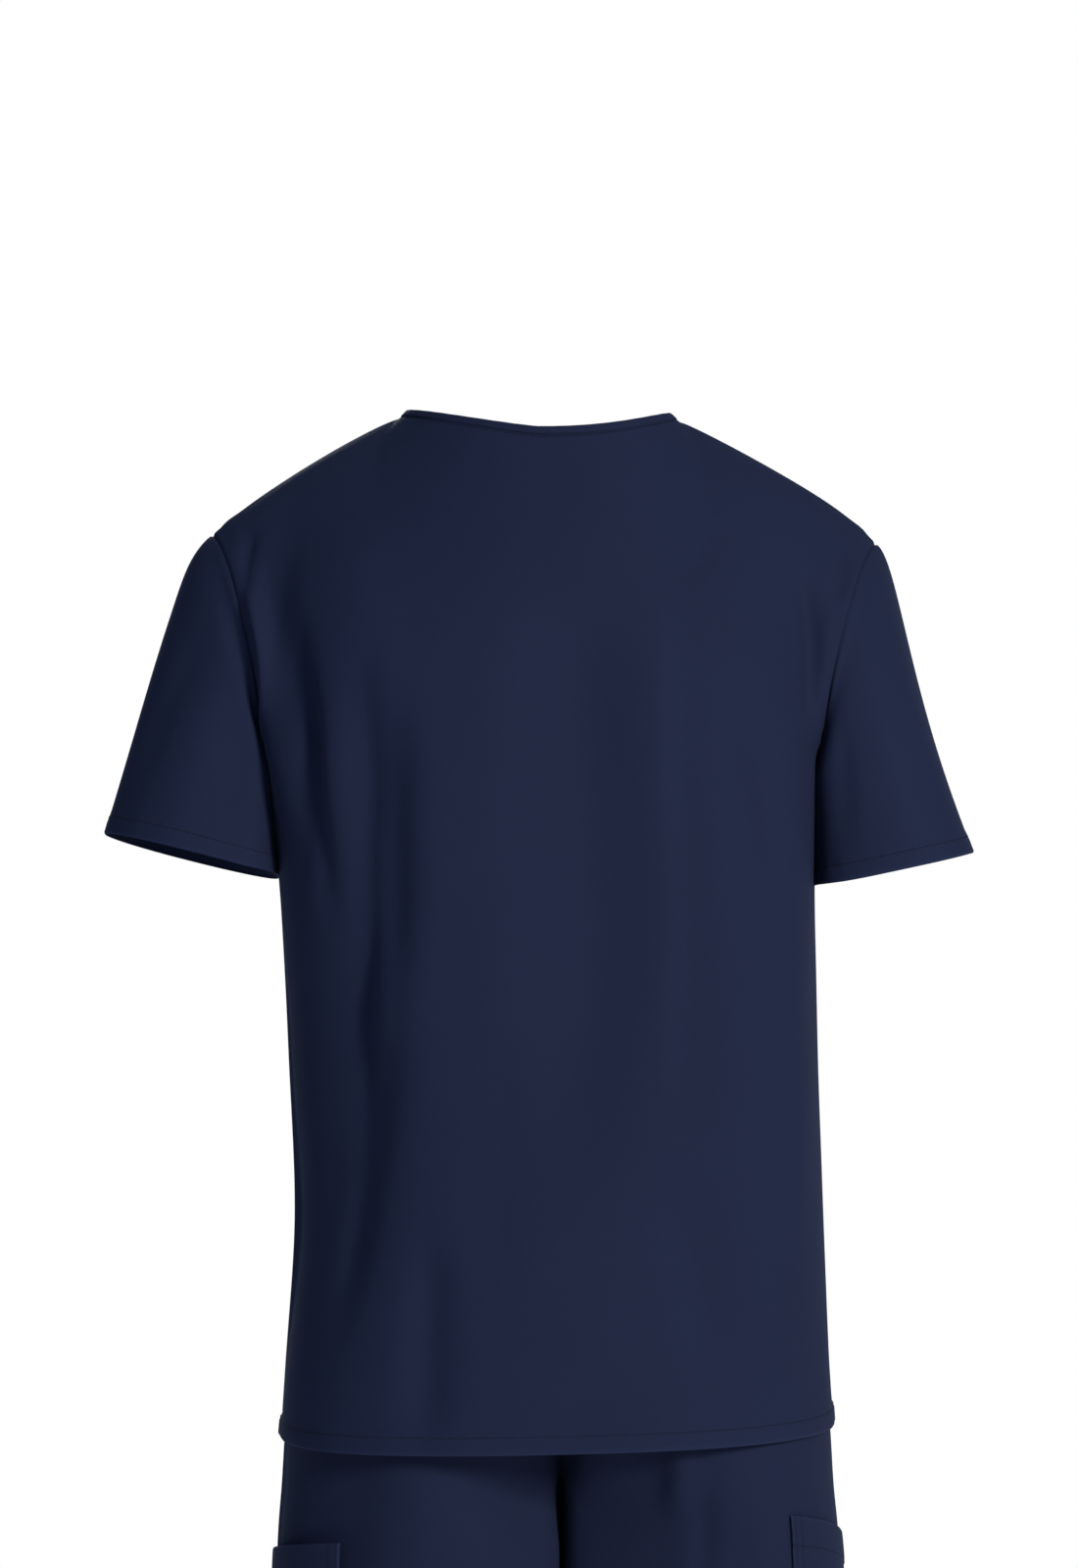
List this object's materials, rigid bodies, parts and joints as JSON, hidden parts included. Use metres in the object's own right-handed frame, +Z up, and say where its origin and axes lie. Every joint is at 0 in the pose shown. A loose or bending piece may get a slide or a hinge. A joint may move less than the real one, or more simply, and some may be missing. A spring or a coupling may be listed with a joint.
{
  "type": "medical scrubs",
  "caption": "Set of navy medical scrubs as worn: a loose short-sleeved top with a V neck, and straight trousers with a cargo pocket on each thigh.",
  "frame": {"origin": "middle of the neck, level with the points where the shoulder seams meet the neck band, where the wearer's shoulders hold the top up", "axes": "+Z up, +X to the wearer's left, the back faces +Y and the front -Y"},
  "size_m": [0.6114, 0.2874, 1.5232],
  "materials": {
    "top_cloth": "matte woven cloth, fine grain, plain dyed navy",
    "neck_band_cloth": "matte woven cloth, fine grain, plain dyed navy",
    "trouser_cloth": "matte woven cloth, fine grain, plain dyed navy",
    "waistband_cloth": "matte woven cloth, fine grain, plain dyed navy",
    "pocket_cloth": "matte woven cloth, fine grain, plain dyed navy"
  },
  "bodies": {
    "root": {"top_back": "top_cloth", "top_front": "top_cloth", "sleeve_left": "top_cloth", "sleeve_right": "top_cloth", "neck_band": "neck_band_cloth", "trouser_back_left": "trouser_cloth", "trouser_front_left": "trouser_cloth", "trouser_back_right": "trouser_cloth", "trouser_front_right": "trouser_cloth", "waistband": "waistband_cloth", "pocket_left": "pocket_cloth", "pocket_right": "pocket_cloth"}
  },
  "joints": []
}
